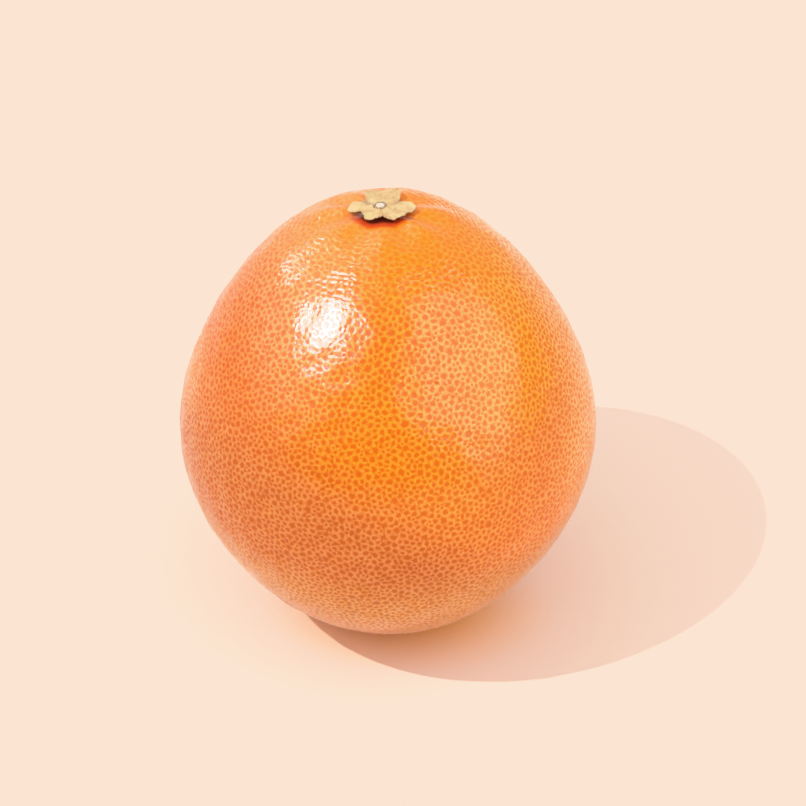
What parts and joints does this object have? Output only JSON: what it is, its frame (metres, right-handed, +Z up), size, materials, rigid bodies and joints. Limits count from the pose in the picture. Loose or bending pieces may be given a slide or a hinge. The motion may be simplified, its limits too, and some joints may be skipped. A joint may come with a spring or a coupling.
{
  "type": "grapefruit",
  "caption": "Whole grapefruit with finely pitted orange peel, resting on a small flat spot, with a dried lobed calyx and a cut stem stub in its stem basin.",
  "frame": {"origin": "middle of the box's base: on the surface that the fruit rests on, under the middle of its outline", "axes": "+Z up out of the surface, the stem leaning nine degrees from it towards +Y, -Y towards the viewer of the picture, +X to their right"},
  "size_m": [0.1, 0.0994, 0.1088],
  "materials": {
    "peel": "waxy orange citrus peel with a pink blush, covered in small pitted oil glands, semi-gloss",
    "dried_calyx": "dry, matte, straw-coloured plant tissue with brown specks",
    "cut_stem": "pale, dry, matte end grain of a thin woody stem"
  },
  "bodies": {
    "root": {"fruit": "peel", "calyx": "dried_calyx", "stem_stub": "cut_stem"}
  },
  "joints": []
}
